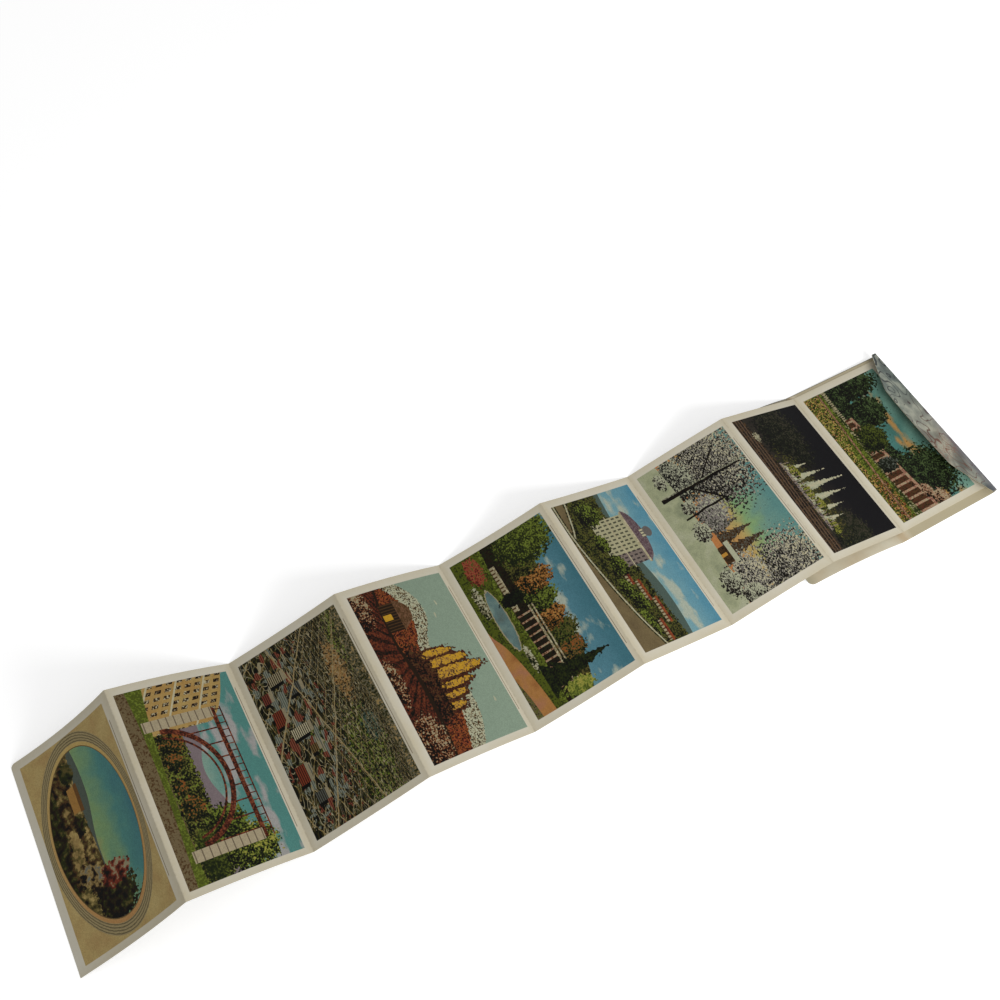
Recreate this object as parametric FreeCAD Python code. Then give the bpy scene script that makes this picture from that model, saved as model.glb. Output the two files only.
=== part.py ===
import FreeCAD, Part
import math
import os
from FreeCAD import Vector

# Fold-out postcard folder, opened out: a zigzag strip of nine picture panels, pasted into a folded card
# cover. Millimetres. +X runs along the strip from its free end to the cover, +Y runs along the folds and
# +Z is up. It lies on z = 0 on its free edge, its valley folds and its cover, with the origin at the middle
# of its outline.

# Picture strip: one sheet, folded across into nine panels
strip_width = 152.4
strip_thickness = 0.3
panel_length = 94.0
strip_fold_radius = 0.6
ridge_heights = [50.8, 35.2, 27.7, 28.6]
panel_bows = [-4.6, 2.6, -1.5, 2.4, -2.0, -0.8, 0.9, 0.6]
pasted_panel_length = 93.4
strip_corner_radius = 3.0

# Cover: one card, folded into front half, spine, back half, upper spine and tuck flap
cover_thickness = 0.4
cover_near_margin = 7.6
cover_far_margin = 3.4
cover_fold_radius = 0.8
front_height = 99.0
front_bow = 6.0
front_rise = 4.5
front_near_taper = 3.8
cover_corner_radius = 5.0
spine_width = 5.0
spine_to_strip_fold = 1.0
back_angle = 1.3
back_margin = 2.4

# Tuck flap, and the narrow upper spine that it is folded back from
flap_fold_radius = 1.5
upper_spine_height = 3.2
flap_length = 22.2
flap_rise = 2.8
flap_bow = 0.5
flap_end_height = 4.0
flap_end_radius = 2.5
flap_shoulder_height = 21.0
flap_shoulder_inset = 38.0
flap_shoulder_radius = 14.0

# Between the middle lines of the cover and the strip where they are pasted together
paste_lift = (cover_thickness + strip_thickness) / 2

CUT_CLEARANCE = 5.0
FLAT = 1e-6


def unit(vector):
    return vector * (1.0 / vector.Length)


def panel_curve(start, start_reach, end, end_reach, bow):
    """Middle line of a panel between two fold centres, as three (point, upper normal) stations.

    A reach is the distance from the sheet to the fold's centre, positive where the centre lies on the
    sheet's upper side, and 0 at a free edge. A positive bow crowns the panel, a negative one sags it.
    """
    span = end - start
    along = unit(span)
    across = Vector(-along.z, 0, along.x)
    if abs(bow) < FLAT:
        tilt = math.asin((start_reach - end_reach) / span.Length)
        normal = across * math.cos(tilt) - along * math.sin(tilt)
        first = start - normal * start_reach
        last = end - normal * end_reach
        return [(first, normal), ((first + last) * 0.5, normal), (last, normal)]
    curvature_reach = -(span.Length ** 2 / (8 * bow) + bow / 2)
    from_start = curvature_reach - start_reach
    from_end = curvature_reach - end_reach
    offset = (from_start ** 2 - from_end ** 2 + span.Length ** 2) / (2 * span.Length)
    height = math.copysign(math.sqrt(from_start ** 2 - offset ** 2), curvature_reach)
    centre = start + along * offset + across * height
    first_normal = (centre - start) * (1 / from_start)
    last_normal = (centre - end) * (1 / from_end)
    normals = [first_normal, unit(first_normal + last_normal), last_normal]
    return [(centre - normal * curvature_reach, normal) for normal in normals]


def sheet_line(folds, bows):
    """Stations of a whole sheet: its panels and the fold arcs between them."""
    curves = []
    for (start, start_reach), (end, end_reach), bow in zip(folds, folds[1:], bows):
        panel = panel_curve(start, start_reach, end, end_reach, bow)
        if curves:
            turn = [curves[-1][-1], None, panel[0]]
            middle_normal = unit(turn[0][1] + turn[2][1])
            turn[1] = (start - middle_normal * start_reach, middle_normal)
            curves.append(turn)
        curves.append(panel)
    return curves


def side_edges(curves, offset):
    """Edges of the sheet's section at a distance from its middle line."""
    edges = []
    for curve in curves:
        first, middle, last = [point + normal * offset for point, normal in curve]
        if unit(middle - first).cross(unit(last - middle)).Length < FLAT:
            edges.append(Part.LineSegment(first, last).toShape())
        else:
            edges.append(Part.Arc(first, middle, last).toShape())
    return edges


def folded_sheet(folds, bows, thickness, y_near, y_far):
    """Solid of a folded sheet: its section along X and Z, drawn out along the folds."""
    curves = sheet_line(folds, bows)
    upper = side_edges(curves, thickness / 2)
    lower = side_edges(curves, -thickness / 2)
    ends = []
    for point, normal in (curves[0][0], curves[-1][-1]):
        half = normal * (thickness / 2)
        ends.append(Part.LineSegment(point - half, point + half).toShape())
    wire = Part.Wire(Part.__sortEdges__(upper + lower + ends))
    face = Part.Face(wire)
    face.translate(Vector(0, y_near, 0))
    return face.extrude(Vector(0, y_far - y_near, 0))


def corner_waste(x, y, x_inward, y_inward, radius, height):
    """What a rounded corner of a sheet leaves off, as an upright block for cutting."""
    centre = Vector(x + x_inward * radius, y + y_inward * radius, -CUT_CLEARANCE)
    block = Part.makeBox(radius + CUT_CLEARANCE, radius + CUT_CLEARANCE, height + 2 * CUT_CLEARANCE)
    corner_x = min(centre.x, centre.x - x_inward * (radius + CUT_CLEARANCE))
    corner_y = min(centre.y, centre.y - y_inward * (radius + CUT_CLEARANCE))
    block.translate(Vector(corner_x, corner_y, -CUT_CLEARANCE))
    return block.cut(Part.makeCylinder(radius, height + 2 * CUT_CLEARANCE, centre))


def back_half_point(distance, lift):
    """Place over the cover's back half, from the centre of the fold between it and the spine.

    The distance runs along the back half from that fold, and the lift is square to its middle line.
    """
    slope = math.radians(back_angle)
    along = Vector(math.cos(slope), 0, math.sin(slope))
    normal = Vector(-math.sin(slope), 0, math.cos(slope))
    return along * distance + normal * (lift - cover_fold_radius)


def cover_fold_height():
    return cover_thickness / 2 + cover_fold_radius


def pasted_fold():
    """Centre of the strip's last fold, from the centre of the fold between the spine and the back half."""
    return back_half_point(spine_to_strip_fold, paste_lift + strip_fold_radius)


def strip_folds():
    """Centres of the strip's folds with their reach, from the free edge to the end pasted in the cover."""
    half = strip_thickness / 2
    valleys = [half + strip_fold_radius] * (len(ridge_heights) - 1)
    valleys.append(cover_fold_height() + pasted_fold().z)
    heights = []
    for ridge_height, valley in zip(ridge_heights, valleys):
        heights.append((ridge_height - half - strip_fold_radius, -strip_fold_radius))
        heights.append((valley, strip_fold_radius))
    folds = [(Vector(0, 0, half), 0.0)]
    for height, reach in heights:
        previous = folds[-1][0]
        run = math.sqrt(panel_length ** 2 - (height - previous.z) ** 2)
        folds.append((Vector(previous.x + run, 0, height), reach))
    pasted_end = back_half_point(spine_to_strip_fold + pasted_panel_length, paste_lift)
    folds.append((folds[-1][0] + pasted_end - pasted_fold(), 0.0))
    return folds


def make_picture_strip():
    folds = strip_folds()
    y_far = strip_width / 2
    strip = folded_sheet(folds, panel_bows + [0.0], strip_thickness, -y_far, y_far)
    waste = corner_waste(0.0, y_far, 1, -1, strip_corner_radius, ridge_heights[0])
    return strip.cut(waste)


def cover_folds():
    """Centres of the cover's folds with their reach, from its front edge to the flap's free edge."""
    spine_end = Vector(strip_folds()[-2][0].x - pasted_fold().x, 0, cover_fold_height())
    spine_start = spine_end - Vector(spine_width, 0, 0)
    front_run = math.sqrt(front_height ** 2 - front_rise ** 2)
    front_edge = Vector(spine_start.x - front_run, 0, cover_thickness / 2 + front_rise)
    back_length = spine_to_strip_fold + pasted_panel_length + back_margin
    lower_turn = spine_end + back_half_point(back_length, flap_fold_radius)
    upper_turn = lower_turn + Vector(0, 0, upper_spine_height)
    flap_tip = upper_turn + Vector(-flap_length, 0, flap_fold_radius + flap_rise)
    return [
        (front_edge, 0.0),
        (spine_start, cover_fold_radius),
        (spine_end, cover_fold_radius),
        (lower_turn, flap_fold_radius),
        (upper_turn, flap_fold_radius),
        (flap_tip, 0.0),
    ]


def near_edge_waste(front_x, spine_x, y_near, height):
    """What the front half's tapered near edge and its rounded corner leave off."""
    taper = math.atan(front_near_taper / (spine_x - front_x))
    inward = Vector(math.sin(taper), math.cos(taper), 0)
    centre_x = front_x + cover_corner_radius
    centre_y = y_near + (cover_corner_radius + (spine_x - centre_x) * inward.x) / inward.y
    centre = Vector(centre_x, centre_y, -CUT_CLEARANCE)
    corners = [
        Vector(spine_x, y_near, -CUT_CLEARANCE),
        centre - inward * cover_corner_radius,
        centre,
        Vector(front_x - CUT_CLEARANCE, centre_y, -CUT_CLEARANCE),
        Vector(front_x - CUT_CLEARANCE, y_near - CUT_CLEARANCE, -CUT_CLEARANCE),
        Vector(spine_x, y_near - CUT_CLEARANCE, -CUT_CLEARANCE),
    ]
    depth = height + 2 * CUT_CLEARANCE
    block = Part.Face(Part.makePolygon(corners + corners[:1])).extrude(Vector(0, 0, depth))
    return block.cut(Part.makeCylinder(cover_corner_radius, depth, centre))


def upright_edges(block, x):
    """The upright edges of a block at one place along the strip."""
    return [
        edge for edge in block.Edges
        if all(abs(vertex.X - x) < FLAT for vertex in edge.Vertexes)
        and abs(edge.Vertexes[0].Z - edge.Vertexes[-1].Z) > FLAT
    ]


def flap_waste(root_x, y_near, y_far, z_low, z_high):
    """What the flap's tapered ends and curved free edge leave off."""
    outer_x = root_x + flap_fold_radius + CUT_CLEARANCE
    tip_x = root_x - flap_length
    end_x = root_x - flap_end_height
    shoulder_x = root_x - flap_shoulder_height
    corners = [
        Vector(outer_x, y_near, z_low),
        Vector(end_x, y_near, z_low),
        Vector(shoulder_x, y_near + flap_shoulder_inset, z_low),
        Vector(shoulder_x, y_far - flap_shoulder_inset, z_low),
        Vector(end_x, y_far, z_low),
        Vector(outer_x, y_far, z_low),
    ]
    tip = Vector(tip_x, (y_near + y_far) / 2, z_low)
    edges = [
        Part.LineSegment(corners[0], corners[1]).toShape(),
        Part.LineSegment(corners[1], corners[2]).toShape(),
        Part.Arc(corners[2], tip, corners[3]).toShape(),
        Part.LineSegment(corners[3], corners[4]).toShape(),
        Part.LineSegment(corners[4], corners[5]).toShape(),
        Part.LineSegment(corners[5], corners[0]).toShape(),
    ]
    kept = Part.Face(Part.Wire(edges)).extrude(Vector(0, 0, z_high - z_low))
    kept = kept.makeFillet(flap_shoulder_radius, upright_edges(kept, shoulder_x))
    kept = kept.makeFillet(flap_end_radius, upright_edges(kept, end_x))
    zone = Part.makeBox(
        outer_x - tip_x + CUT_CLEARANCE,
        y_far - y_near + 2 * CUT_CLEARANCE,
        z_high - z_low,
        Vector(tip_x - CUT_CLEARANCE, y_near - CUT_CLEARANCE, z_low),
    )
    return zone.cut(kept)


def make_cover():
    folds = cover_folds()
    y_near = -strip_width / 2 - cover_near_margin
    y_far = strip_width / 2 + cover_far_margin
    bows = [front_bow, 0.0, 0.0, 0.0, flap_bow]
    cover = folded_sheet(folds, bows, cover_thickness, y_near, y_far)
    front_x, spine_x = folds[0][0].x, folds[1][0].x
    front_top = front_rise + front_bow
    cover = cover.cut(near_edge_waste(front_x, spine_x, y_near, front_top))
    cover = cover.cut(corner_waste(front_x, y_far, 1, -1, cover_corner_radius, front_top))
    lower_turn, upper_turn = folds[-3][0], folds[-2][0]
    z_low = (lower_turn.z + upper_turn.z) / 2
    z_high = folds[-1][0].z + cover_thickness + CUT_CLEARANCE
    return cover.cut(flap_waste(upper_turn.x, y_near, y_far, z_low, z_high))


def export(name, shape, centre):
    """Write a piece with the middle of the folder's outline moved to the origin."""
    shape.translate(Vector(-centre.x, -centre.y, 0))
    print(name, "solids", len(shape.Solids), "valid", shape.isValid(), "volume", round(shape.Volume, 3))
    shape.Solids[0].exportStep("parts/" + name + ".step")


os.makedirs("parts", exist_ok=True)
picture_strip = make_picture_strip()
cover = make_cover()
outline = picture_strip.optimalBoundingBox()
outline.add(cover.optimalBoundingBox())
export("picture_strip", picture_strip, outline.Center)
export("cover", cover, outline.Center)
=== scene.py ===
import math

import bpy
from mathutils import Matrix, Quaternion, Vector
from mathutils.bvhtree import BVHTree


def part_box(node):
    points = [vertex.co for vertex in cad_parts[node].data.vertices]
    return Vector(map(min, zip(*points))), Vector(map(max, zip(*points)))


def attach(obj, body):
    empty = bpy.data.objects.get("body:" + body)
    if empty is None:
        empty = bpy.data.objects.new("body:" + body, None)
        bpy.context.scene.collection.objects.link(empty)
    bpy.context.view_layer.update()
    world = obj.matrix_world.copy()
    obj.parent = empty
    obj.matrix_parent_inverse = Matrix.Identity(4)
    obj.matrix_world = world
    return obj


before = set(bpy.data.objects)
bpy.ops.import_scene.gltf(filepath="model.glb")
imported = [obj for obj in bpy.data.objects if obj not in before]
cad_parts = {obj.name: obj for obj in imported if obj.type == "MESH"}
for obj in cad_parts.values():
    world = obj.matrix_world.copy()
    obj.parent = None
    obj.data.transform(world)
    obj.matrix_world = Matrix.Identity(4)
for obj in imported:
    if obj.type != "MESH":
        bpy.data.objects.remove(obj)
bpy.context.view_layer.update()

MM = 0.001


# ---------------------------------------------------------------- writing a finish

PAPER_SHEEN = 0.08
INK_DEPTH = 1.15
AGED = 1.08, 1.06, 0.97
LINEN_PITCH = 0.55
LINEN_DEPTH, LINEN_STRENGTH = 0.03 * MM, 0.5
CARD_DEPTH, CARD_STRENGTH = 0.04 * MM, 0.4

# Sockets of a Mix node for colours, which share their names with its other sockets
MIX_SHARE, MIX_UNDER, MIX_OVER, MIXED = 0, 6, 7, 2


def ink(red, green, blue):
    """A colour mixed on a 0 to 255 scale, as the linear colour that a shader takes."""
    def linear(part):
        part /= 255
        return part / 12.92 if part <= 0.04045 else ((part + 0.055) / 1.055) ** 2.4
    return (linear(red), linear(green), linear(blue), 1.0)


def sum_of(operation, reflected=False):
    """A sum that a Value takes part in, with the Value second where it is reflected."""
    def apply(self, other):
        pair = (other, self) if reflected else (self, other)
        return self.finish.maths(operation, *pair)
    return apply


class Value:
    """A number that varies over a surface. A sum on it adds a Math node to its finish."""

    def __init__(self, finish, socket):
        self.finish = finish
        self.socket = socket

    __add__, __radd__ = sum_of("ADD"), sum_of("ADD", True)
    __sub__, __rsub__ = sum_of("SUBTRACT"), sum_of("SUBTRACT", True)
    __mul__, __rmul__ = sum_of("MULTIPLY"), sum_of("MULTIPLY", True)
    __truediv__, __rtruediv__ = sum_of("DIVIDE"), sum_of("DIVIDE", True)
    __lt__, __gt__ = sum_of("LESS_THAN"), sum_of("GREATER_THAN")
    __and__, __or__ = sum_of("MINIMUM"), sum_of("MAXIMUM")

    def __abs__(self):
        return self.finish.maths("ABSOLUTE", self)


class Nodes:
    """A node tree that is written node by node."""

    def __init__(self, tree, shader):
        self.tree = tree
        self.shader = tree.nodes[shader]

    def node(self, kind, settings, values, out=0):
        """Adds a node, with its settings before its sockets, and gives back one of its outputs."""
        node = self.tree.nodes.new("ShaderNode" + kind)
        for name, setting in settings.items():
            if name == "stops":
                self.set_stops(node.color_ramp, setting)
            elif name == "points":
                self.set_points(node.mapping, setting)
            else:
                setattr(node, name, setting)
        for name, value in values.items():
            self.feed(node.inputs[name], value)
        return Value(self, node.outputs[out])

    def feed(self, socket, value):
        """A varying value is linked to a socket, and a number is set on it."""
        if isinstance(value, Value):
            self.tree.links.new(value.socket, socket)
        else:
            socket.default_value = value

    def set_stops(self, ramp, stops):
        while len(ramp.elements) < len(stops):
            ramp.elements.new(1.0)
        for element, (place, colour) in zip(ramp.elements, stops):
            element.position = place
            element.color = colour

    def set_points(self, mapping, points):
        curve = mapping.curves[0]
        while len(curve.points) < len(points):
            curve.points.new(1.0, 1.0)
        for point, place in zip(curve.points, points):
            point.location = place
        mapping.update()

    def maths(self, operation, *values, clamp=False):
        settings = {"operation": operation, "use_clamp": clamp}
        return self.node("Math", settings, dict(enumerate(values)))

    def vectors(self, operation, *values, out=0):
        return self.node("VectorMath", {"operation": operation}, dict(enumerate(values)), out)

    def scaled(self, vector, scale):
        return self.node("VectorMath", {"operation": "SCALE"}, {0: vector, "Scale": scale})

    def kept(self, value):
        """A value held between 0 and 1."""
        return self.maths("ADD", value, 0.0, clamp=True)

    def mixed(self, share, under, over):
        settings = {"data_type": "RGBA"}
        values = {MIX_SHARE: share, MIX_UNDER: under, MIX_OVER: over}
        return self.node("Mix", settings, values, MIXED)

    def tints(self, value, *inks):
        """A run of inks, evenly spread as the value goes from 0 to 1."""
        last = len(inks) - 1
        stops = [(place / last, colour) for place, colour in enumerate(inks)]
        return self.node("ValToRGB", {"stops": stops}, {0: value})

    def parts(self, vector):
        whole = self.node("SeparateXYZ", {}, {0: vector})
        return [Value(self, output) for output in whole.socket.node.outputs]

    def noise(self, place, size, detail=2.0, flat=True):
        settings = {"noise_dimensions": "2D" if flat else "3D"}
        values = {"Vector": place, "Scale": 1 / size, "Detail": detail}
        return self.node("TexNoise", settings, values)

    def flecks(self, place, size, shape="EUCLIDEAN"):
        """One chance value for each small patch of a surface."""
        settings = {"voronoi_dimensions": "2D", "distance": shape}
        patch = self.node("TexVoronoi", settings, {"Vector": place, "Scale": 1 / size}, "Color")
        return self.node("SeparateColor", {}, {0: patch})

    def linen(self, across, up):
        """The height of a linen grain pressed into paper, from places in millimetres."""
        turns = 2 * math.pi / LINEN_PITCH
        return self.maths("SINE", across * turns) * self.maths("SINE", up * turns)

    def shown(self):
        """1 where a surface is seen directly, in a mirror or through glass, and 0 elsewhere."""
        rays = "Is Camera Ray", "Is Glossy Ray", "Is Transmission Ray"
        seen, mirrored, through = [self.node("LightPath", {}, {}, ray) for ray in rays]
        return seen | mirrored | through


class Finish(Nodes):
    """The nodes of one material."""

    def __init__(self, name):
        self.material = bpy.data.materials.new(name)
        self.material.use_nodes = True
        super().__init__(self.material.node_tree, "Principled BSDF")

    def bump(self, height, distance, strength):
        values = {"Height": height, "Distance": distance, "Strength": strength}
        self.feed(self.shader.inputs["Normal"], self.node("Bump", {}, values))

    def finished(self, colour, roughness):
        self.shader.inputs["Specular IOR Level"].default_value = PAPER_SHEEN
        self.feed(self.shader.inputs["Base Color"], colour)
        self.feed(self.shader.inputs["Roughness"], roughness)
        return self.material


# ---------------------------------------------------------------- inks

CREAM = ink(191, 186, 171)
CREAM_TONED_AND_SHADED = ink(176, 165, 136)
BUFF = ink(184, 178, 158)
BUFF_TONED = ink(166, 150, 122)

SKY_BLUE = ink(88, 128, 144)
SKY_DEEP = ink(68, 110, 124)
SKY_TEAL = ink(84, 130, 128)
SKY_PALE = ink(136, 154, 144)
CLOUD = ink(156, 164, 156)
HAZE_GREEN = ink(124, 150, 112)
GLOW = ink(166, 146, 98)
FLAME = ink(168, 118, 76)
LILAC = ink(120, 110, 116)

BLACK = ink(12, 11, 7)
NIGHT = ink(20, 19, 23)
DUSK = ink(58, 54, 46)
PINE = ink(26, 34, 16)
LEAF_DARK = ink(44, 50, 20)
LEAF = ink(76, 84, 36)
LEAF_BRIGHT = ink(106, 118, 52)
LEAF_YELLOW = ink(146, 142, 74)
LAWN = ink(80, 88, 30)
OLIVE = ink(90, 82, 48)
BARK = ink(38, 27, 16)
UMBER = ink(78, 58, 36)
MAROON = ink(76, 36, 28)
BRICK = ink(124, 62, 44)
RUST = ink(130, 80, 42)
OCHRE = ink(152, 118, 70)
GOLD = ink(176, 140, 48)
SAND = ink(164, 146, 100)
TAN = ink(146, 126, 86)
ROAD = ink(108, 96, 74)
STONE = ink(146, 138, 116)
CHALK = ink(172, 166, 144)
SLATE = ink(86, 90, 86)
SNOW = ink(160, 162, 144)
SNOW_SHADE = ink(112, 112, 104)
PINK = ink(152, 118, 100)


# ---------------------------------------------------------------- drawing a picture

# Every place and size in a picture is in millimetres, from its lower left corner. An oval or a
# crown is given by its middle and its half width and half height, and a block by its four sides.

class Picture(Finish):
    """A printed picture, laid down field by field over its ground.

    Its chance is how far its noise is moved, so that no two pictures share their brushwork.
    """

    width, height = 140.0, 83.0

    def __init__(self, name, chance, *grounds):
        super().__init__(name)
        self.place = self.node("UVMap", {"uv_map": "picture"}, {})
        self.x, self.y, _ = self.parts(self.place)
        self.spot = self.vectors("ADD", self.place, (chance, 0.6 * chance, 0))
        self.drift = self.noise(self.spot, 14) - 0.5
        self.ragged = self.noise(self.spot, 2.4, 3) - 0.5
        clumps = self.noise(self.spot, 5.5, 2) - 0.5
        strokes = self.noise(self.spot, 1.4, 4) - 0.5
        self.dabs = 2.2 * strokes + 1.2 * clumps + 0.4 * self.flecks(self.spot, 1.1) - 0.2
        self.dust = self.flecks(self.spot, 0.8) - 0.5
        up = self.y / self.height + 0.25 * self.drift
        self.colour = self.tints(up, *grounds)

    def lay(self, mask, colour):
        """Prints a colour over what is there already, where the mask is 1."""
        self.colour = self.mixed(mask, self.colour, colour)

    def about(self, x, y, width, height):
        """The place counted from the middle of a field, with its edges at 1."""
        scale = (1 / width, 1 / height, 0)
        return self.vectors("MULTIPLY_ADD", self.place, scale, (-x / width, -y / height, 0))

    def length(self, vector):
        return self.vectors("LENGTH", vector, out="Value")

    def reach(self, x, y, width, height):
        """How far a place is from the middle of an oval, with its edge at 1."""
        return self.length(self.about(x, y, width, height))

    def oval(self, x, y, width, height, ragged=0.0):
        return self.reach(x, y, width, height) + ragged * self.ragged < 1

    def block(self, left, right, low, high):
        half_width, half_height = (right - left) / 2, (high - low) / 2
        spot = self.about(left + half_width, low + half_height, half_width, half_height)
        across, up, _ = self.parts(self.vectors("ABSOLUTE", spot))
        return (across | up) < 1

    def skyline(self, *points, ragged=0.0):
        """Height of a line drawn from left to right through the points."""
        points = [(x / self.width, y / self.height) for x, y in points]
        curve = self.node("FloatCurve", {"points": points}, {"Value": self.x / self.width})
        return curve * self.height + ragged * self.ragged

    def under(self, *points, ragged=0.0):
        return self.y < self.skyline(*points, ragged=ragged)

    def rows(self, value, pitch, share):
        """Stripes that cover a share of each pitch."""
        return self.maths("FRACT", value / pitch) < share

    def near(self, value, target, half):
        return abs(value - target) < half

    def leaves(self, *inks, light=0.0):
        """Brushwork, from the first ink in its shade to the last in its light."""
        return self.tints(0.5 + 1.3 * self.dabs + 0.8 * self.ragged + light, *inks)

    def speckle(self, *inks):
        """Dots, each of one of the inks."""
        return self.tints(0.5 + self.dust, *inks)

    def crown(self, x, y, width, height, *inks, ragged=1.1):
        """A tree's crown or a bush, lit from its upper left. Gives back its mask."""
        spot = self.about(x, y, width, height)
        light = self.vectors("DOT_PRODUCT", spot, (-0.2, 0.28, 0), out="Value")
        mask = self.length(spot) + ragged * self.ragged < 1
        self.lay(mask, self.leaves(*inks, light=light))
        return mask

    def fir(self, x, low, high, width, *inks):
        """A conifer with drooping tiers."""
        down = (high - self.y) / (high - low)
        tiers = 0.7 + 0.5 * self.maths("FRACT", down * 6 + self.ragged)
        side = abs(self.x - x) / width + 0.5 * self.ragged
        self.lay((side < down * tiers) & (self.y > low), self.leaves(*inks))

    def clouds(self, low, high, colour, size=24, amount=0.5):
        """Soft banks of cloud between two heights."""
        spread = self.vectors("MULTIPLY", self.spot, (1, 2.2, 1))
        bank = self.noise(spread, size, 5)
        away = abs(self.y - (low + high) / 2) / ((high - low) / 2)
        self.lay(self.kept((bank - 0.62 + 0.24 * amount - 0.12 * away) * 7), colour)

    def printed(self):
        """The finish of the whole picture: uneven ink over a pressed linen grain, with a painted
        highlight on the raised linen threads.
        """
        grain = self.noise(self.spot, 0.5, 1)
        weave = self.linen(self.x, self.y)
        # The weave term is a painted highlight: the ink is lighter on the raised linen threads.
        tone = 0.96 + 0.5 * (grain - 0.5) + 0.16 * self.dust + 0.05 * weave
        self.bump(weave, LINEN_DEPTH, LINEN_STRENGTH)
        deep = self.node("Gamma", {}, {"Color": self.colour, "Gamma": INK_DEPTH})
        aged = self.vectors("MULTIPLY", self.scaled(deep, tone), AGED)
        return self.finished(aged, 0.62 + 0.12 * grain)


# ---------------------------------------------------------------- the nine pictures

def vale_in_an_oval():
    art = Picture("vale_in_an_oval", 0, GLOW, GLOW, HAZE_GREEN, SKY_TEAL, SKY_DEEP)
    art.dabs = 1.9 * (art.noise(art.spot, 5, 4) - 0.5)
    art.lay(art.under((0, 39), (40, 43), (80, 38), (140, 43)), ink(84, 92, 86))
    art.lay(
        art.under((0, 38), (50, 35), (90, 37), (140, 33), ragged=3),
        art.leaves(BARK, UMBER, OLIVE, TAN, SAND))
    art.lay(
        art.under((0, 28), (40, 31), (90, 27), (140, 30), ragged=6),
        art.leaves(BLACK, BARK, UMBER, OLIVE, TAN))
    art.lay(art.block(34, 52, 28, 35), OCHRE)
    art.lay(art.block(33, 53, 34, 37), ink(104, 76, 46))
    art.crown(24, 32, 8, 6, BLACK, LEAF_DARK, OLIVE)
    art.crown(60, 30, 7, 5, BLACK, BARK, LEAF_DARK, OLIVE)
    art.crown(72, 22, 12, 4, OLIVE, TAN, SAND)
    art.lay(
        art.under((0, 13), (50, 18), (90, 13), (140, 17), ragged=7),
        art.leaves(BLACK, BARK, LEAF_DARK, OLIVE))
    art.crown(114, 38, 17, 19, BLACK, BLACK, BARK, LEAF_DARK, OLIVE)
    art.crown(101, 42, 8, 14, BLACK, MAROON, BRICK, STONE)
    art.crown(96, 24, 10, 9, BLACK, BARK, TAN, SNOW_SHADE)
    art.crown(118, 18, 20, 6, BLACK, OLIVE, SAND)
    reach = art.reach(70, 41, 70, 41.5)
    mottle = 0.5 + 1.3 * art.drift + 0.3 * art.ragged
    field = art.tints(mottle, ink(158, 134, 96), ink(166, 148, 106), ink(174, 158, 116))
    lines = art.rows(reach + 0.012 * art.ragged, 0.028, 0.36)
    art.lay(reach > 0.84, ink(104, 88, 60))
    art.lay(reach > 0.85, art.tints(art.x / art.width, ink(176, 156, 106), ink(166, 130, 90)))
    art.lay(reach > 0.89, art.mixed(lines, ink(148, 136, 106), ink(104, 96, 76)))
    art.lay(reach > 1, field)
    return art.printed()


def timber_bridge():
    art = Picture("timber_bridge", 200, ink(138, 148, 150), SKY_PALE, SKY_TEAL, SKY_TEAL)
    art.clouds(40, 80, ink(150, 150, 152), amount=0.8)
    art.lay(art.under((0, 38), (40, 46), (70, 39), (105, 47), (140, 40)), LILAC)
    art.lay(
        art.under((0, 30), (60, 34), (140, 31), ragged=8),
        art.leaves(BLACK, PINE, LEAF_DARK, OLIVE, LEAF_BRIGHT))
    front = art.under((0, 80), (36, 58), (37, 0), (140, 0))
    art.lay(front, art.tints(0.5 + art.drift, OCHRE, SAND))
    slant = art.y + 0.55 * art.x
    panes = art.rows(art.x + 1, 5.2, 0.5) & art.rows(slant, 7.5, 0.62)
    art.lay(front & panes, art.leaves(BLACK, BARK, UMBER, CHALK))
    art.lay(front & art.rows(slant, 22, 0.07), CHALK)
    art.lay(art.under((0, 14), (140, 13), ragged=2), art.leaves(ROAD, ROAD, UMBER))
    art.lay(
        art.under((0, 19), (34, 15), (60, 13.5), (140, 13)),
        art.leaves(LEAF, LAWN, LEAF_BRIGHT))
    for x, y, width, height in (44, 24, 9, 9), (58, 21, 7, 7), (92, 22, 9, 8), (76, 19, 6, 5):
        art.crown(x, y, width, height, BLACK, PINE, LEAF_DARK, OLIVE, RUST)
    art.crown(128, 48, 17, 22, BLACK, PINE, LEAF_DARK, LEAF, LEAF_BRIGHT, LEAF_YELLOW)
    art.crown(108, 40, 13, 14, BLACK, PINE, LEAF_DARK, LEAF, LEAF_BRIGHT)
    art.crown(126, 22, 18, 9, PINE, LEAF_DARK, LEAF)
    arch = art.reach(76, 14, 44, 42)
    timber = art.leaves(BARK, MAROON, ink(92, 50, 36), ink(124, 74, 52))
    between = art.block(32, 120, 20, 60)
    art.lay((abs(arch - 0.96) < 0.045) & between, timber)
    art.lay((abs(arch - 0.84) < 0.018) & between, timber)
    art.lay((arch > 1) & art.block(32, 120, 30, 60) & art.rows(art.x + 3, 11, 0.1), timber)
    art.lay(art.block(26, 126, 60, 63.5), timber)
    posts = art.block(26, 126, 62, 68.6) & art.rows(art.x, 5.5, 0.14)
    art.lay(art.block(26, 126, 67.5, 68.6) | posts, timber)
    blocks = art.mixed(art.rows(art.y, 5.4, 0.16), ink(158, 148, 128), ink(112, 102, 88))
    for left, right in (25, 33), (119, 127):
        art.lay(art.block(left, right, 10, 61), blocks)
    art.lay(art.under((0, 7), (50, 9), (140, 6)), art.leaves(UMBER, ROAD, ROAD))
    return art.printed()


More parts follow.
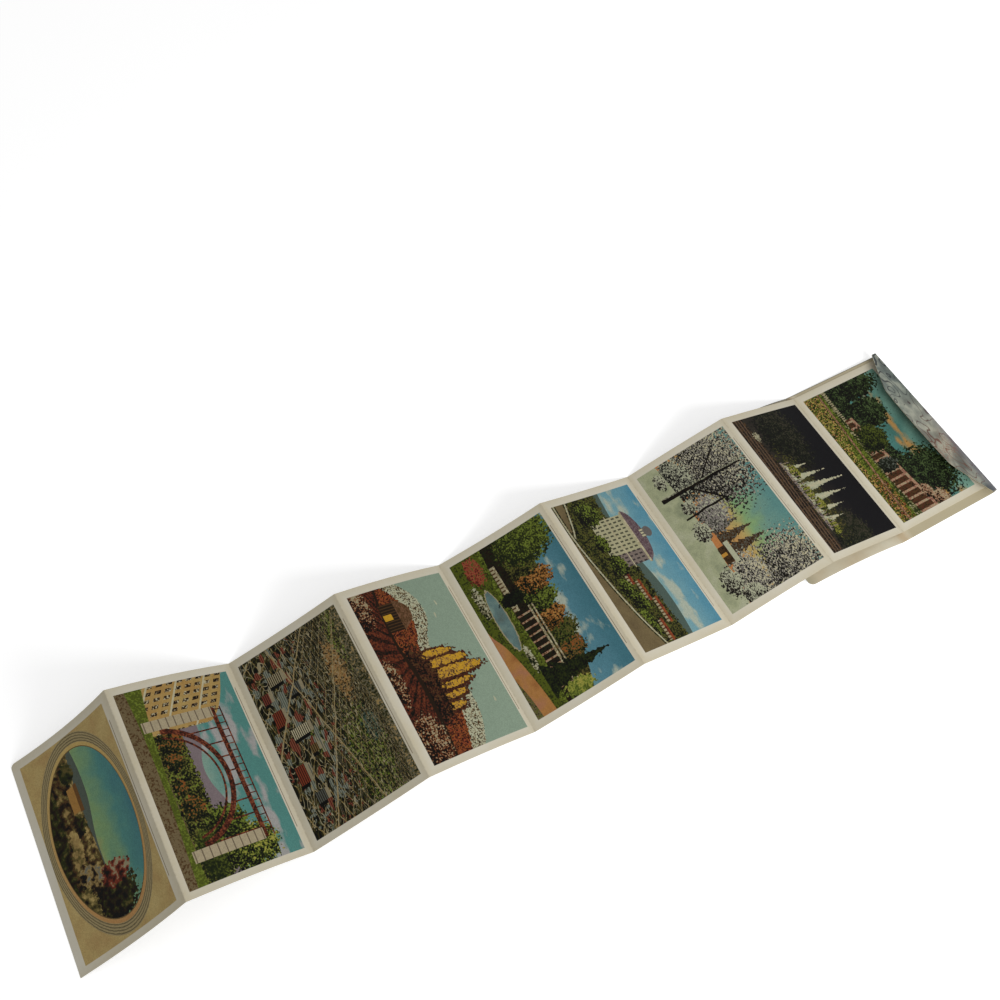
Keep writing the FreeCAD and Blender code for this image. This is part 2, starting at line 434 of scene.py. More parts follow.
def town_from_the_air():
    art = Picture("town_from_the_air", 400, OLIVE, OLIVE)
    closeness = 1.5 - art.y / 92
    across, deep = (art.x - 70) / closeness, art.y / closeness
    east = 0.8 * across + 1.1 * deep + 4 * art.drift
    north = 1.25 * deep - 0.42 * across - 3 * art.drift
    plan = art.node("CombineXYZ", {}, {"X": east, "Y": north})
    lots = art.flecks(plan, 1.9, "CHEBYCHEV")
    hedges = art.noise(art.vectors("MULTIPLY", plan, (0.2, 1, 1)), 1.8, 3)
    tracks = art.noise(art.vectors("MULTIPLY", plan, (1, 0.2, 1)), 1.8, 3)
    roads = art.noise(plan, 16, 1)
    shade = 3.2 * (hedges | tracks) + 0.2 * lots - 1.6
    art.colour = art.tints(
        shade, BLACK, BLACK, PINE, BARK, LEAF_DARK, UMBER, LEAF, SLATE, STONE, CHALK)
    woods = art.oval(112, 60, 40, 15, 2.2) | art.oval(20, 76, 26, 7, 2.2)
    art.lay(
        woods | art.oval(80, 32, 12, 6, 2),
        art.leaves(BLACK, PINE, LEAF_DARK, LEAF, LEAF_BRIGHT))
    art.lay(art.oval(44, 66, 22, 6, 2), art.leaves(BARK, UMBER, TAN, RUST, TAN))
    art.lay(art.oval(92, 70, 12, 5, 2), art.leaves(BLACK, ink(52, 78, 66), SLATE))
    lanes = art.near(roads, 0.5, 0.007) | art.near(roads, 0.4, 0.005)
    art.lay(lanes | art.near(roads, 0.6, 0.005), STONE)
    streets = art.rows(east, 11, 0.07) | art.rows(north, 7.5, 0.09)
    art.lay(streets & (art.ragged > -0.1), art.leaves(OLIVE, TAN, STONE))
    roofs = art.flecks(plan, 4.6, "CHEBYCHEV")
    fronts = art.rows(art.y, 1.5, 0.45)
    middle = art.oval(58, 22, 78, 24, 1.8)
    art.lay(middle & (roofs > 0.86), art.mixed(fronts, ink(126, 78, 62), MAROON))
    art.lay(middle & (roofs < 0.2), art.mixed(fronts, ink(124, 128, 118), SLATE))
    art.lay(middle & art.near(roofs, 0.5, 0.03), art.mixed(fronts, STONE, SLATE))
    towers = (
        (24, 21, 4, 6, STONE), (52, 12, 6, 4, BRICK), (38, 31, 4, 5, SLATE), (68, 22, 4, 7, CHALK),
        (96, 10, 7, 4, BRICK), (84, 26, 3, 3, ink(110, 92, 60)), (116, 16, 4, 4, SLATE),
        (34, 9, 4, 3, ink(116, 62, 52)),
    )
    for x, y, width, height, wall in towers:
        left, right, low, high = x - width, x + width, y - height, y + height
        front = art.block(left, right, low, high) & (art.ragged > -0.3)
        art.lay(front, art.mixed(fronts, wall, BARK))
        art.lay(art.block(right, right + 2.5, low, high - 1.5), BLACK)
        art.lay(art.block(left, right, high, high + 2.5), ink(140, 132, 112))
    avenues = art.near(east, 58, 0.8) | art.near(north, 47, 0.7)
    art.lay(avenues | art.near(east, 5, 0.6), art.leaves(TAN, STONE))
    haze = art.under((0, 80), (60, 78), (100, 81), (140, 79), ragged=3) < 0.5
    art.lay(haze, art.leaves(PINE, OLIVE, SLATE, TAN))
    return art.printed()


def golden_poplars():
    wall = ink(128, 144, 132)
    art = Picture("golden_poplars", 600, wall, wall, ink(132, 148, 136))
    for x, y in (24, 66), (34, 60), (112, 70):
        art.lay(art.oval(x, y, 2.2, 0.8, 1.5), SNOW)
    blossom = art.under((0, 40), (26, 53), (60, 42), (104, 54), (140, 44), ragged=3)
    art.lay(blossom, art.speckle(BLACK, UMBER, STONE, SNOW, SNOW, SNOW))
    bushes = art.under((0, 28), (30, 40), (62, 33), (100, 40), (140, 32), ragged=4)
    art.lay(bushes, art.speckle(BLACK, MAROON, RUST, BRICK))
    trees = (
        (64, 20, 58, 5), (72, 18, 68, 5.5), (98, 18, 54, 5), (90, 17, 63, 5), (81, 16, 77, 6),
        (107, 20, 48, 4.5),
    )
    for x, low, high, width in trees:
        middle, half = (low + high) / 2, (high - low) / 2
        art.crown(x, middle, width + 1, half + 1.5, BARK, MAROON, UMBER, ragged=0.8)
        art.crown(x - 0.6, middle + 1, width - 1.6, half - 3, UMBER, OCHRE, GOLD, GOLD, ragged=0.7)
    art.crown(85, 25, 34, 12, BLACK, BLACK, BARK, MAROON, UMBER)
    art.lay(art.under((0, 23), (40, 19), (85, 23), (140, 20)), BARK)
    furrow = (art.x - 60) / (34 - art.y)
    rust = art.leaves(BARK, MAROON, ink(88, 46, 30), ink(104, 58, 38))
    field = art.under((0, 21), (40, 17), (85, 20), (140, 18))
    art.lay(field, rust)
    furrows = art.rows(furrow + 0.12 * art.ragged, 0.42, 0.34)
    art.lay(field & furrows, art.leaves(BLACK, BARK, MAROON))
    for x, y, width, height in (14, 4, 18, 9), (126, 8, 22, 12), (76, 3, 20, 6):
        art.crown(x, y, width, height, BLACK, BLACK, BARK, MAROON, RUST, STONE)
    art.lay(art.block(14, 38, 19, 32), art.mixed(art.rows(art.x, 2.4, 0.3), BARK, UMBER))
    roof = art.under((0, 0), (11, 30), (26, 42), (41, 30), (140, 0)) & art.block(12, 40, 31, 42)
    art.lay(roof, art.leaves(UMBER, ink(112, 84, 66)))
    art.lay(art.block(23, 28, 19, 26), GOLD)
    return art.printed()


def garden_by_a_pond():
    art = Picture("garden_by_a_pond", 800, SKY_PALE, SKY_PALE, SKY_BLUE, SKY_DEEP)
    art.clouds(54, 78, CLOUD, amount=0.45)
    art.lay(
        art.under((0, 56), (30, 60), (62, 50), (96, 57), (140, 48), ragged=2),
        art.leaves(BARK, LEAF_DARK, OLIVE))
    trees = (
        (106, 46, OLIVE, RUST), (90, 48, LEAF, OLIVE), (76, 46, RUST, OCHRE),
        (60, 48, LEAF, LEAF_BRIGHT), (44, 52, RUST, OCHRE), (28, 50, OLIVE, LEAF),
    )
    for x, y, *inks in trees:
        art.crown(x, y, 11, 15, BLACK, LEAF_DARK, *inks)
    art.lay(art.block(0, 140, 26, 37), art.leaves(BLACK, BARK, PINE))
    posts = art.rows(art.x, 5.8, 0.26) & art.block(62, 128, 26, 39)
    art.lay(posts, art.leaves(UMBER, PINK, STONE))
    rails = art.block(60, 130, 37.4, 39) | art.block(60, 130, 40.4, 41.6)
    art.lay(rails | art.block(18, 60, 29, 30.6), art.leaves(ROAD, STONE, CHALK))
    art.lay(art.block(18, 60, 26, 29), art.mixed(art.rows(art.x, 3.3, 0.4), STONE, UMBER))
    art.lay(
        art.under((0, 27), (50, 25), (100, 27), (140, 26), ragged=2),
        art.leaves(LEAF_DARK, LAWN, LEAF_BRIGHT))
    art.lay(art.under((0, 24), (50, 22), (100, 23), (140, 22)), art.leaves(LEAF_DARK, LAWN, LAWN))
    art.lay(art.oval(60, 15, 28, 5.6, 0.25), STONE)
    water = art.tints(0.5 + art.drift, SLATE, ink(96, 118, 120), SKY_PALE)
    art.lay(art.oval(60, 15, 26.5, 4.8, 0.2), water)
    sand = art.tints(0.5 + 1.6 * art.drift, ink(134, 92, 56), ink(156, 116, 72), ink(150, 108, 92))
    art.lay(art.under((0, 0), (62, 0), (82, 7), (112, 13), (140, 16)), sand)
    art.lay(art.under((0, 0), (104, 0), (120, 3), (140, 5)), art.leaves(LAWN, ROAD, LEAF_DARK))
    for x, y, width, height in (40, 7, 15, 3.5), (98, 19, 12, 2.5):
        art.crown(x, y, width, height, PINE, LEAF_DARK, STONE, SNOW)
    art.crown(14, 15, 13, 7, MAROON, BRICK, ink(150, 82, 66), LEAF)
    art.crown(49, 30, 6, 11, BLACK, BLACK, PINE)
    art.crown(10, 60, 22, 25, PINE, LEAF_DARK, LEAF, LEAF_BRIGHT)
    art.fir(119, 20, 74, 13, BLACK, PINE, LEAF_DARK)
    art.crown(134, 40, 7, 12, LEAF, LEAF_BRIGHT, LEAF_YELLOW)
    return art.printed()


def mill_and_boulevard():
    art = Picture(
        "mill_and_boulevard", 1000, SKY_PALE, SKY_PALE, ink(112, 148, 160), ink(84, 132, 154))
    art.clouds(44, 72, CLOUD, amount=0.7)
    art.lay(art.under((0, 49), (50, 46), (100, 52), (140, 50)), ink(78, 92, 88))
    art.lay(
        art.under((0, 44), (70, 42), (140, 46), ragged=9),
        art.leaves(BLACK, PINE, LEAF_DARK, OLIVE, LEAF))
    for x, y, width in (112, 38, 12), (92, 33, 10), (128, 30, 10), (78, 27, 7):
        left, right = x - width, x + width
        art.lay(art.block(left, right, y, y + 2.6), art.leaves(MAROON, BRICK, RUST))
        front = art.mixed(art.rows(art.x, 3, 0.4), STONE, UMBER)
        art.lay(art.block(left + 1, right - 1, y - 2.6, y), front)
    wall = art.tints(0.5 + art.drift, ink(146, 144, 120), ink(164, 160, 136))
    panes = art.rows(art.x, 3.6, 0.42) & art.rows(art.y + 1, 5.2, 0.62)
    art.lay(art.block(24, 58, 24, 58), art.mixed(panes, wall, ink(78, 78, 66)))
    art.lay(art.block(58, 70, 24, 56), art.mixed(panes, ink(118, 108, 104), ink(64, 58, 60)))
    art.lay(art.block(22, 72, 56, 58.5) | art.block(22, 72, 40, 41), art.leaves(STONE, CHALK))
    roof = art.under((0, 0), (20, 57), (30, 65), (62, 65), (73, 57), (140, 0)) & (art.y > 58)
    art.lay(roof, art.leaves(ink(84, 66, 74), ink(112, 100, 104)))
    art.lay(art.block(42, 50, 64, 71), art.mixed(art.rows(art.x, 2.6, 0.4), CHALK, SLATE))
    art.lay(art.oval(46, 71, 5, 4), ink(100, 96, 96))
    trees = (
        (16, 28, 12, 11), (66, 26, 10, 8), (44, 24, 9, 6), (86, 20, 9, 6), (100, 24, 10, 7),
        (120, 20, 14, 6),
    )
    for x, y, width, height in trees:
        art.crown(x, y, width, height, BLACK, BLACK, LEAF_DARK, LEAF, LEAF_BRIGHT)
    left = art.skyline((0, 12), (22, 6), (40, 0), (140, 0))
    right = art.skyline((0, 0), (30, 0), (70, 5), (110, 13), (140, 22))
    ground = art.tints(0.5 + 1.5 * art.drift, ink(96, 84, 64), ink(116, 104, 78))
    for edge in left, right:
        art.lay(art.y < edge + 4, art.leaves(BLACK, PINE, LEAF_DARK, OLIVE, ROAD))
        art.lay(art.near(art.y, edge + 2, 0.7), art.leaves(STONE, SNOW))
        art.lay(art.y < edge, ground)
    return art.printed()


def snow_in_the_woods():
    art = Picture(
        "snow_in_the_woods", 1200, FLAME, FLAME, FLAME, GLOW, HAZE_GREEN, ink(104, 136, 130),
        ink(92, 130, 130))
    frost = art.noise(art.vectors("MULTIPLY", art.spot, (0.55, 1, 1)), 1.0, 4) - 0.5
    drifts = art.noise(art.spot, 5, 2) - 0.5
    art.dabs = 2.2 * frost + 0.8 * drifts + 0.3 * art.flecks(art.spot, 0.9) - 0.14
    frosted = BLACK, BLACK, BARK, SNOW_SHADE, ink(128, 120, 124), SNOW, CHALK
    twigs = art.rows(0.7 * art.x + 0.7 * art.y + 7 * art.ragged, 2.6, 0.22)
    for x, high, width in (84, 56, 7), (96, 62, 8), (74, 50, 6):
        art.fir(x, 26, high, width, BARK, UMBER, SLATE)
    art.lay(art.crown(132, 62, 30, 30, *frosted, ragged=2) & twigs, BLACK)
    art.lay(art.crown(24, 56, 40, 36, *frosted, ragged=2) & twigs, BLACK)
    art.crown(60, 34, 18, 13, BLACK, SNOW_SHADE, LILAC, SNOW, ragged=1.4)
    art.crown(124, 30, 24, 14, *frosted, ragged=1.3)
    art.crown(20, 26, 22, 14, BLACK, BLACK, SNOW_SHADE, SNOW)
    art.lay(art.block(88, 104, 20, 28), art.leaves(BARK, UMBER))
    art.lay(art.block(86, 106, 27, 31), SNOW)
    art.lay(art.block(94, 97, 20, 25), ink(168, 128, 62))
    shade = art.tints(0.5 + 1.8 * art.drift, ink(126, 132, 112), ink(150, 154, 130), SNOW)
    art.lay(art.under((0, 18), (50, 21), (96, 20), (140, 16), ragged=1.5), shade)
    bushes = (118, 15, 13, 8), (70, 19, 9, 7), (134, 24, 9, 9), (46, 22, 7, 6), (14, 14, 8, 5)
    for x, y, width, height in bushes:
        art.crown(x, y, width, height, BLACK, BARK, SNOW_SHADE, SNOW, SNOW)
    sway = 2.5 * art.drift
    trunk = art.near(art.x + sway, 30 + art.y / 22, 2.1 - art.y / 60) & art.block(0, 140, 6, 80)
    limb = art.near(art.y - 30, (art.x + sway - 30) * 0.9, 1.1) & art.block(30, 56, 28, 60)
    twig = art.near(art.y - 44, (30 - art.x - sway) * 1.2, 0.9) & art.block(12, 32, 44, 70)
    far = art.near(art.x + sway, 54, 0.9) & art.block(40, 60, 14, 50)
    art.lay(trunk | limb | twig | far, art.leaves(BLACK, BLACK, BARK))
    art.lay(art.near(art.x + sway, 28.2 + art.y / 22, 0.5) & (art.y > 7), art.speckle(BARK, SNOW))
    return art.printed()


def fountains_at_night():
    art = Picture("fountains_at_night", 1400, DUSK, ink(40, 36, 34), NIGHT, NIGHT)
    art.crown(28, 40, 36, 22, BLACK, BLACK, PINE, DUSK, ragged=1.6)
    art.crown(132, 34, 26, 20, BLACK, PINE, DUSK)
    art.lay(art.oval(86, 24, 42, 14, 1.6), art.leaves(ink(46, 42, 36), LEAF_DARK, OLIVE))
    jets = (58, 44, 3.4), (68, 58, 4), (79, 72, 4.8), (91, 64, 4.4), (102, 50, 3.8), (112, 40, 3.2)
    for x, high, width in jets:
        down = (high - art.y) / (high - 18)
        side = abs(art.x - x) / width + 0.9 * art.ragged
        spray = (side < down * (0.4 + 0.8 * down)) & art.block(0, art.width, 18, high)
        lit = 0.9 - 0.7 * side + 0.5 * art.dabs
        art.lay(spray, art.tints(lit, SLATE, ink(148, 150, 130), SNOW, CHALK))
    for x, y in (62, 24), (84, 22), (98, 25), (120, 20):
        art.crown(x, y, 8, 5, BLACK, LEAF_DARK, ink(112, 114, 52), ink(132, 130, 66))
    art.lay(art.block(50, 122, 15, 18), art.leaves(DUSK, LILAC, STONE))
    spouts = art.block(50, 122, 15, 26) & art.rows(art.x, 3.7, 0.22)
    art.lay(spouts, art.leaves(UMBER, LILAC, ink(150, 140, 90)))
    art.lay(art.under((0, 12), (70, 15), (140, 11), ragged=3), art.leaves(BLACK, BARK, DUSK, UMBER))
    art.lay(art.rows(art.y + 0.05 * art.x + art.ragged, 3.2, 0.3) & (art.y < 12), ink(96, 78, 66))
    art.lay(art.oval(20, 14, 5, 3, 2.5), art.speckle(DUSK, STONE, SNOW))
    return art.printed()


def terrace_garden():
    # The last ground ink, at the top of the sky, is lighter as a painted light where the tuck
    # flap's shadow falls.
    art = Picture("terrace_garden", 1600, SKY_PALE, SKY_TEAL, ink(68, 106, 102), ink(128, 162, 152))
    art.clouds(44, 70, ink(156, 126, 82), size=30, amount=0.7)
    deep = BLACK, BLACK, PINE, ink(42, 54, 32), ink(70, 84, 54)
    art.crown(110, 54, 27, 27, *deep, ragged=1.5)
    art.crown(36, 46, 18, 18, *deep)
    art.crown(6, 50, 16, 26, *deep)
    art.lay(art.under((0, 40), (40, 36), (90, 44), (140, 42), ragged=7), art.leaves(*deep))
    top = art.skyline((0, 26), (46, 30), (140, 40))
    art.lay((art.y < top) & (art.x > 34), art.leaves(BARK, UMBER, MAROON))
    posts = art.rows(art.x, 7.2, 0.3) | art.near(art.y, top - 1.5, 1.4)
    art.lay(posts & (art.y < top) & (art.x > 34), art.leaves(ink(116, 82, 72), PINK, STONE))
    art.crown(88, 26, 8, 10, BLACK, PINE, SLATE)
    art.crown(60, 30, 15, 16, BLACK, PINE, LEAF_DARK, LEAF)
    for x, y, width, height in (134, 47, 8, 7), (124, 40, 7, 5):
        art.crown(x, y, width, height, BLACK, UMBER, PINK, STONE)
    art.lay(
        art.under((0, 24), (50, 20), (100, 18), (140, 22), ragged=4),
        art.leaves(PINE, LEAF_DARK, LEAF, STONE))
    art.lay(art.block(0, 34, 20, 23) & art.rows(art.x, 2.2, 0.5), STONE)
    art.lay(
        art.under((0, 19), (60, 17), (140, 15), ragged=2),
        art.leaves(LEAF_DARK, LAWN, LEAF_BRIGHT))
    bed = art.under((0, 15), (36, 13), (70, 6), (140, 5), ragged=4)
    art.lay(bed, art.speckle(BLACK, PINE, LEAF_DARK, LAWN, LAWN, LEAF_YELLOW, TAN, FLAME))
    bed = art.oval(116, 8, 26, 6, 1.2)
    art.lay(bed, art.speckle(BLACK, PINE, LEAF_DARK, LAWN, LEAF, BRICK, OCHRE, PINK))
    art.lay(art.near(art.y, 16 - 0.06 * art.x, 0.8), art.leaves(PINK, UMBER))
    return art.printed()


# ---------------------------------------------------------------- the strip and its prints

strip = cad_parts["picture_strip"]
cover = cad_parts["cover"]
strip_low, strip_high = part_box("picture_strip")
cover_low, cover_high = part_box("cover")

LINE_STEP, LINE_INSET = 0.25 * MM, 0.3 * MM
CLEAR_ABOVE = 10 * MM
SHORTEST_PANEL = 50 * MM


def upper_line(node, low, high):
    """Places (x, z) along the middle of a sheet's upper face, from one end to the other."""
    mesh = node.data
    tree = BVHTree.FromPolygons([v.co for v in mesh.vertices], [p.vertices for p in mesh.polygons])
    length = high[0] - low[0]
    count = math.ceil(length / LINE_STEP)
    down = Vector((0, 0, -1))
    places = []
    for number in range(count + 1):
        x = low[0] + LINE_INSET + (length - 2 * LINE_INSET) * number / count
        place, *_ = tree.ray_cast(Vector((x, 0, high[2] + CLEAR_ABOVE)), down)
        places.append((place.x, place.z))
    return places


# The run is the distance along the upper face, and a fold is where its slope turns up or down
line = upper_line(strip, strip_low, strip_high)
run = [0.0]
for (x0, z0), (x1, z1) in zip(line, line[1:]):
    run.append(run[-1] + math.hypot(x1 - x0, z1 - z0))
turns = [
    number for number in range(1, len(line) - 1)
    if (line[number][1] - line[number - 1][1]) * (line[number + 1][1] - line[number][1]) < 0
]
folds = [0.0]
for number in turns + [len(line) - 1]:
    if run[number] - folds[-1] > SHORTEST_PANEL:
        folds.append(run[number])
fold_places = [line[number][0] for number in turns]


def on_strip(distance):
    """The place (x, z) at a distance along the strip's upper face."""
    for number in range(1, len(run)):
        if run[number] >= distance:
            break
    share = (distance - run[number - 1]) / (run[number] - run[number - 1])
    (x0, z0), (x1, z1) = line[number - 1], line[number]
    return Vector((x0 + (x1 - x0) * share, 0, z0 + (z1 - z0) * share))


class Prints:
    """The printed fields of all panels, as one piece that lies on the strip."""

    columns, row_length = 6, 1.5 * MM
    lift = 0.04 * MM
    slope_reach = 5 * MM

    def __init__(self):
        self.vertices, self.normals, self.places = [], [], []
        self.faces, self.finishes, self.materials = [], [], []

    def lay(self, panel, margins, finish):
        """One picture on one panel, inside its margins in mm: lower, upper, left and right."""
        lower, upper, left, right = [margin * MM for margin in margins]
        start, end = folds[panel] + lower, folds[panel + 1] - upper
        y_left, y_right = strip_high[1] - left, strip_low[1] + right
        rows = round((end - start) / self.row_length)
        first = len(self.vertices)
        for row in range(rows + 1):
            distance = start + (end - start) * row / rows
            ahead = on_strip(distance + min(self.slope_reach, upper / 2))
            slope = ahead - on_strip(distance - min(self.slope_reach, lower / 2))
            normal = Vector((-slope.z, 0, slope.x)).normalized()
            point = on_strip(distance) + normal * self.lift
            for column in range(self.columns + 1):
                y = y_left + (y_right - y_left) * column / self.columns
                self.vertices.append((point.x, y, point.z))
                self.normals.append(normal)
                self.places.append(((y_left - y) / MM, (distance - start) / MM))
        for row in range(rows):
            for column in range(self.columns):
                corner = first + row * (self.columns + 1) + column
                above = corner + self.columns + 1
                self.faces.append((corner, corner + 1, above + 1, above))
                self.finishes.append(len(self.materials))
        self.materials.append(finish)

    def finished(self, name):
        mesh = bpy.data.meshes.new(name)
        mesh.from_pydata(self.vertices, [], self.faces)
        layer = mesh.uv_layers.new(name="picture")
        for loop in mesh.loops:
            layer.data[loop.index].uv = self.places[loop.vertex_index]
        for face, finish in zip(mesh.polygons, self.finishes):
            face.use_smooth = True
            face.material_index = finish
        mesh.normals_split_custom_set_from_vertices(self.normals)
        for finish in self.materials:
            mesh.materials.append(finish)
        piece = bpy.data.objects.new(name, mesh)
        bpy.context.collection.objects.link(piece)
        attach(piece, "root")


# Each panel's picture, and its margins in mm: lower, upper, left and right
PRINTS = [
    (vale_in_an_oval, (5.6, 6.6, 6.2, 4.8)),
    (timber_bridge, (4.3, 5.4, 6.0, 4.7)),
    (town_from_the_air, (5.1, 4.2, 6.5, 5.2)),
    (golden_poplars, (7.1, 3.9, 6.6, 5.6)),
    (garden_by_a_pond, (6.2, 4.2, 6.5, 6.1)),
    (mill_and_boulevard, (6.7, 5.4, 6.7, 7.3)),
    (snow_in_the_woods, (5.3, 3.3, 6.3, 7.0)),
    (fountains_at_night, (7.5, 3.7, 6.2, 6.0)),
    (terrace_garden, (6.0, 5.5, 6.8, 6.5)),
]
prints = Prints()
for panel, (draw, margins) in enumerate(PRINTS):
    prints.lay(panel, margins, draw())
prints.finished("picture_prints")


# ---------------------------------------------------------------- paper and card

# The gap is in metres, and the other lengths here are in millimetres
RULED_PANELS = 0, 1, 2, 3, 4, 5, 6
RULE_GAP, RULE_WIDTH, RULE_LENGTH = 1.5 * MM, 0.45, 112.0
TONED_FROM, TONED_OVER = 68, 9
SPINE_MIDDLE, SPINE_HALF = 3.5, 6.0
FLAP_HEIGHT = 6.8
COVER_LENGTH = 160
last_fold = fold_places[-1] / MM


def linen_paper():
    """The strip's cream paper: toned towards its edges, rubbed along its folds, and darker within a
    few millimetres of each fold, partly toned paper and partly painted shade.
    """
    paper = Finish("linen_paper")
    place = paper.scaled(paper.node("TexCoord", {}, {}, "Object"), 1 / MM)
    x, y, _ = paper.parts(place)
    soft = paper.noise(place, 38, 4, flat=False)
    fine = paper.noise(place, 2.0, 3, flat=False)
    middle = (strip_low[1] + strip_high[1]) / 2 / MM
    edge = paper.kept((abs(y - middle) - TONED_FROM) / TONED_OVER)
    crease = abs(x - fold_places[0] / MM)
    for fold in fold_places[1:]:
        crease = crease & abs(x - fold / MM)
    # Near each fold the paper darkens: partly toned paper, partly painted shade in the fold.
    edge_toning_and_fold_shade = edge | paper.kept(1.3 - crease / 5)
    worn = paper.kept(1 - crease / 0.9) * paper.kept(fine * 3 - 0.8)
    facing_up = paper.parts(paper.node("NewGeometry", {}, {}, "Normal"))[2] > 0
    toning_and_fold_shade = paper.kept(0.75 * (soft - 0.35) + 0.45 * edge_toning_and_fold_shade + 0.3 * (fine - 0.5))
    colour = paper.mixed(toning_and_fold_shade, CREAM, CREAM_TONED_AND_SHADED)
    colour = paper.mixed(0.5 * worn, colour, ink(150, 142, 124))
    for panel in RULED_PANELS:
        upper = PRINTS[panel][1][1] * MM
        rule = on_strip(folds[panel + 1] - upper + RULE_GAP).x / MM
        drawn = (abs(x - rule) < RULE_WIDTH / 2) & (abs(y - middle) < RULE_LENGTH / 2) & facing_up
        colour = paper.mixed(0.75 * drawn, colour, UMBER)
    paper.bump(paper.linen(x, y) + 0.8 * fine, LINEN_DEPTH, LINEN_STRENGTH)
    return paper.finished(colour, 0.78 + 0.1 * fine)


def plain_inside(card, x, soft, spine):
    """The card's bare inner face: unevenly toned, darker along its spine, and with painted shade on
    its back half and towards its front end.
    """
    toned = card.kept(1.6 * (soft - 0.3) + 0.8 * spine)
    colour = card.mixed(toned, BUFF, BUFF_TONED)
    # Painted shade: the back half's inner face is darkened as if it lay in the strip's shade.
    back = card.kept((x - last_fold) / 6)
    colour = card.mixed(0.8 * back, colour, ink(154, 144, 117))
    # Painted shade: greyer and darker towards the cover's front end.
    corner = card.kept(1 - (x - cover_low[0] / MM) / 9)
    return card.mixed(0.5 * corner, colour, ink(132, 134, 112))


def printed_outside(card, place, along, from_end, facing_up, soft, fine):
    """The card's tinted outer face, with blots and thin stems on its flap and upper spine, and a
    band of painted shade on the near part of its outer bend.
    """
    motif = card.noise(card.vectors("MULTIPLY", place, (1, 0.55, 1)), 11, 4, flat=False)
    stems = card.noise(card.vectors("MULTIPLY", place, (1, 0.45, 1)), 12, 1.2, flat=False)
    wander = along + 0.3 * (soft - 0.5)
    colour = card.tints(
        wander, ink(98, 101, 100), ink(94, 104, 100), ink(120, 126, 116), ink(138, 134, 122),
        ink(132, 128, 112), ink(102, 98, 90), ink(78, 82, 80))
    blots = card.kept((motif - 0.4) * 5)
    petals = card.tints(blots, ink(64, 70, 68), ink(110, 116, 108), ink(164, 166, 150))
    decorated = facing_up > -0.4
    colour = card.mixed(0.5 * decorated, colour, petals)
    thickness = 0.12 + 0.14 * card.kept(1 - 2.5 * along)
    outlines = card.maths("FRACT", 7 * stems + 0.1 * fine) < thickness
    drawn = card.tints(wander, ink(40, 44, 48), ink(60, 62, 62), ink(96, 62, 50), ink(84, 72, 66))
    colour = card.mixed(0.85 * (outlines & decorated), colour, drawn)
    blush = card.kept(1 - abs(wander - 0.68) * 9) * card.kept((fine - 0.38) * 4)
    colour = card.mixed(0.6 * (blush & decorated), colour, ink(126, 84, 68))
    # Painted shade: a darker band on the near part of the outer bend.
    bend_shade = card.kept(1.2 - from_end / 7) * card.kept((along - 0.4) * 5)
    return card.mixed(0.6 * bend_shade, colour, ink(98, 96, 106))


def cover_card():
    """The cover's card: plain inside, tinted outside, and printed on its flap and upper spine."""
    card = Finish("cover_card")
    place = card.scaled(card.node("TexCoord", {}, {}, "Object"), 1 / MM)
    x, y, z = card.parts(place)
    from_far, from_end = cover_high[1] / MM - y, cover_high[0] / MM - x
    facing_end, _, facing_up = card.parts(card.node("NewGeometry", {}, {}, "Normal"))
    soft = card.noise(place, 26, 5, flat=False)
    fine = card.noise(place, 1.6, 3, flat=False)
    spine = card.kept(1 - abs(x - last_fold + SPINE_MIDDLE) / SPINE_HALF)

    inside = plain_inside(card, x, soft, spine)
    along = from_far / COVER_LENGTH
    outside = printed_outside(card, place, along, from_end, facing_up, soft, fine)
    on_flap = (z > FLAP_HEIGHT) & (x > last_fold)
    outward = card.mixed(on_flap, card.maths("MAXIMUM", 0 - facing_up, facing_end), facing_up)
    colour = card.mixed(outward > 0.35, inside, outside)

    far_edge = card.kept(1.4 - from_far / 0.8)
    colour = card.mixed(0.7 * far_edge, colour, ink(98, 98, 92))
    # Painted shade: a dark line along the outermost bend of the upper spine. The same rim also
    # carries real wear flecks below.
    rim = card.kept(1 - from_end / 1.3)
    colour = card.mixed(0.75 * rim, colour, ink(72, 76, 78))
    creases = card.kept(1 - abs(spine - 0.55) * 9)
    worn = card.kept((fine - 0.55) * 8) * (rim | creases)
    colour = card.mixed(worn, colour, ink(160, 158, 146))
    card.bump(fine, CARD_DEPTH, CARD_STRENGTH)
    return card.finished(colour, 0.6 + 0.2 * fine)


strip.data.materials[0] = linen_paper()
cover.data.materials[0] = cover_card()


# ---------------------------------------------------------------- floor, light and camera

WHITE = (1.0, 1.0, 1.0, 1.0)
ROOM_GREY = (0.6, 0.6, 0.6, 1.0)
FLOOR_WHITE = (0.8, 0.8, 0.8, 1.0)
FLOOR_GLOW = 0.45
FLOOR_HALF, FLOOR_DROP = 3.0, 0.1 * MM

WINDOW_PLACE, WINDOW_AIM = (0.28, -0.72, 0.45), (0.42, 0, 0)
WINDOW_WIDTH, WINDOW_HEIGHT, WINDOW_POWER = 0.5, 0.4, 8

CAMERA_AZIMUTH, CAMERA_ELEVATION, CAMERA_ROLL = -36.7, 60.2, 8.4
CAMERA_TARGET, CAMERA_DISTANCE = (11.4, 108.1, 0), 819.9
CAMERA_LENS = 35.6


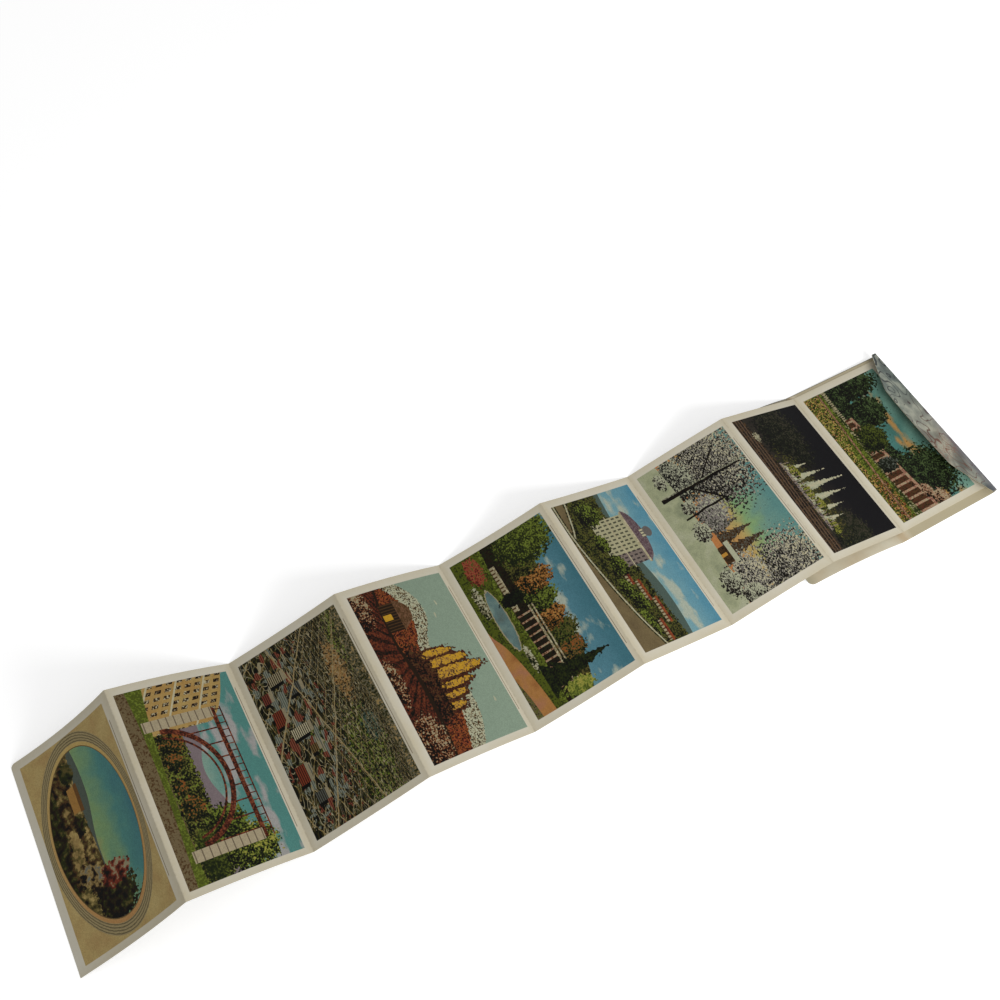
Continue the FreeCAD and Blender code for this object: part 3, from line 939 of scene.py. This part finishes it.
def make_floor():
    half = FLOOR_HALF
    corners = [(-half, -half, 0), (half, -half, 0), (half, half, 0), (-half, half, 0)]
    mesh = bpy.data.meshes.new("floor")
    mesh.from_pydata(corners, [], [(0, 1, 2, 3)])
    floor = bpy.data.objects.new("floor", mesh)
    floor.location.z = -FLOOR_DROP
    bpy.context.collection.objects.link(floor)
    white = Finish("floor_white")
    white.shader.inputs["Base Color"].default_value = FLOOR_WHITE
    white.shader.inputs["Roughness"].default_value = 1.0
    white.shader.inputs["Specular IOR Level"].default_value = 0.0
    white.shader.inputs["Emission Strength"].default_value = FLOOR_GLOW
    white.feed(white.shader.inputs["Emission Color"], white.shown())
    mesh.materials.append(white.material)


def make_light():
    """A plain pale room and one soft window. The room looks white but lights the object as grey."""
    world = bpy.data.worlds.new("room")
    bpy.context.scene.world = world
    world.use_nodes = True
    room = Nodes(world.node_tree, "Background")
    room.feed(room.shader.inputs["Color"], room.mixed(room.shown(), ROOM_GREY, WHITE))
    lamp = bpy.data.lights.new("window", "AREA")
    lamp.shape = "RECTANGLE"
    lamp.size, lamp.size_y = WINDOW_WIDTH, WINDOW_HEIGHT
    lamp.energy = WINDOW_POWER
    window = bpy.data.objects.new("window", lamp)
    window.location = WINDOW_PLACE
    aim = Vector(WINDOW_AIM) - window.location
    window.rotation_euler = aim.to_track_quat("-Z", "Y").to_euler()
    bpy.context.collection.objects.link(window)


def make_camera():
    azimuth, elevation = math.radians(CAMERA_AZIMUTH), math.radians(CAMERA_ELEVATION)
    back = Vector((
        math.sin(azimuth) * math.cos(elevation),
        -math.cos(azimuth) * math.cos(elevation),
        math.sin(elevation),
    ))
    lens = bpy.data.cameras.new("camera")
    lens.lens = CAMERA_LENS
    camera = bpy.data.objects.new("camera", lens)
    camera.location = Vector(CAMERA_TARGET) * MM + back * CAMERA_DISTANCE * MM
    camera.rotation_mode = "QUATERNION"
    turn = Quaternion((0, 0, 1), math.radians(CAMERA_ROLL))
    camera.rotation_quaternion = (-back).to_track_quat("-Z", "Y") @ turn
    bpy.context.collection.objects.link(camera)
    bpy.context.scene.camera = camera


make_floor()
make_light()
make_camera()
bpy.context.scene.view_settings.view_transform = "Standard"
